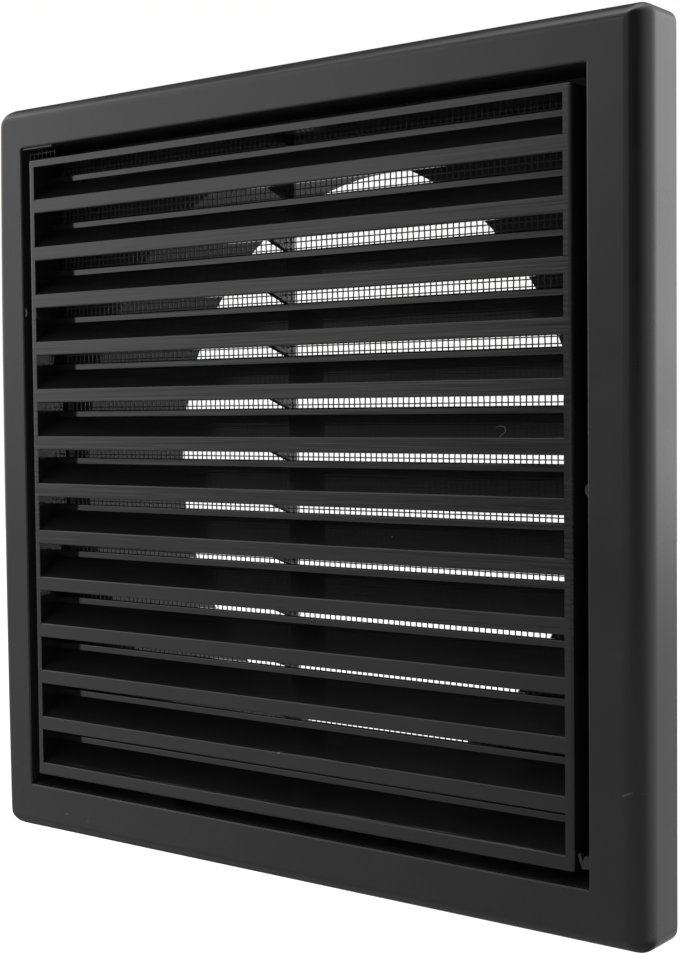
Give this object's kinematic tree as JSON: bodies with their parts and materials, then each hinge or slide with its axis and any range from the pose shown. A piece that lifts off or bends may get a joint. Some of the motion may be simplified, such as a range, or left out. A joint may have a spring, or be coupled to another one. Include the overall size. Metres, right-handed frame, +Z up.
{
  "type": "vent grille",
  "caption": "Square black louvred vent grille with a fine insect mesh and a round collar behind it for a ventilation duct through a wall.",
  "frame": {"origin": "on the axis of the round collar, in the plane of the wall that the grille lies against", "axes": "+Y along the collar's axis into the wall, +Z up, so the louvres face -Y and shed rain downward"},
  "size_m": [0.187, 0.05, 0.187],
  "materials": {
    "black_plastic": "satin moulded black plastic",
    "mesh_plastic": "fine black plastic mesh"
  },
  "bodies": {
    "root": {"frame": "black_plastic", "louvre_panel": "black_plastic", "insect_mesh": "mesh_plastic"}
  },
  "joints": []
}
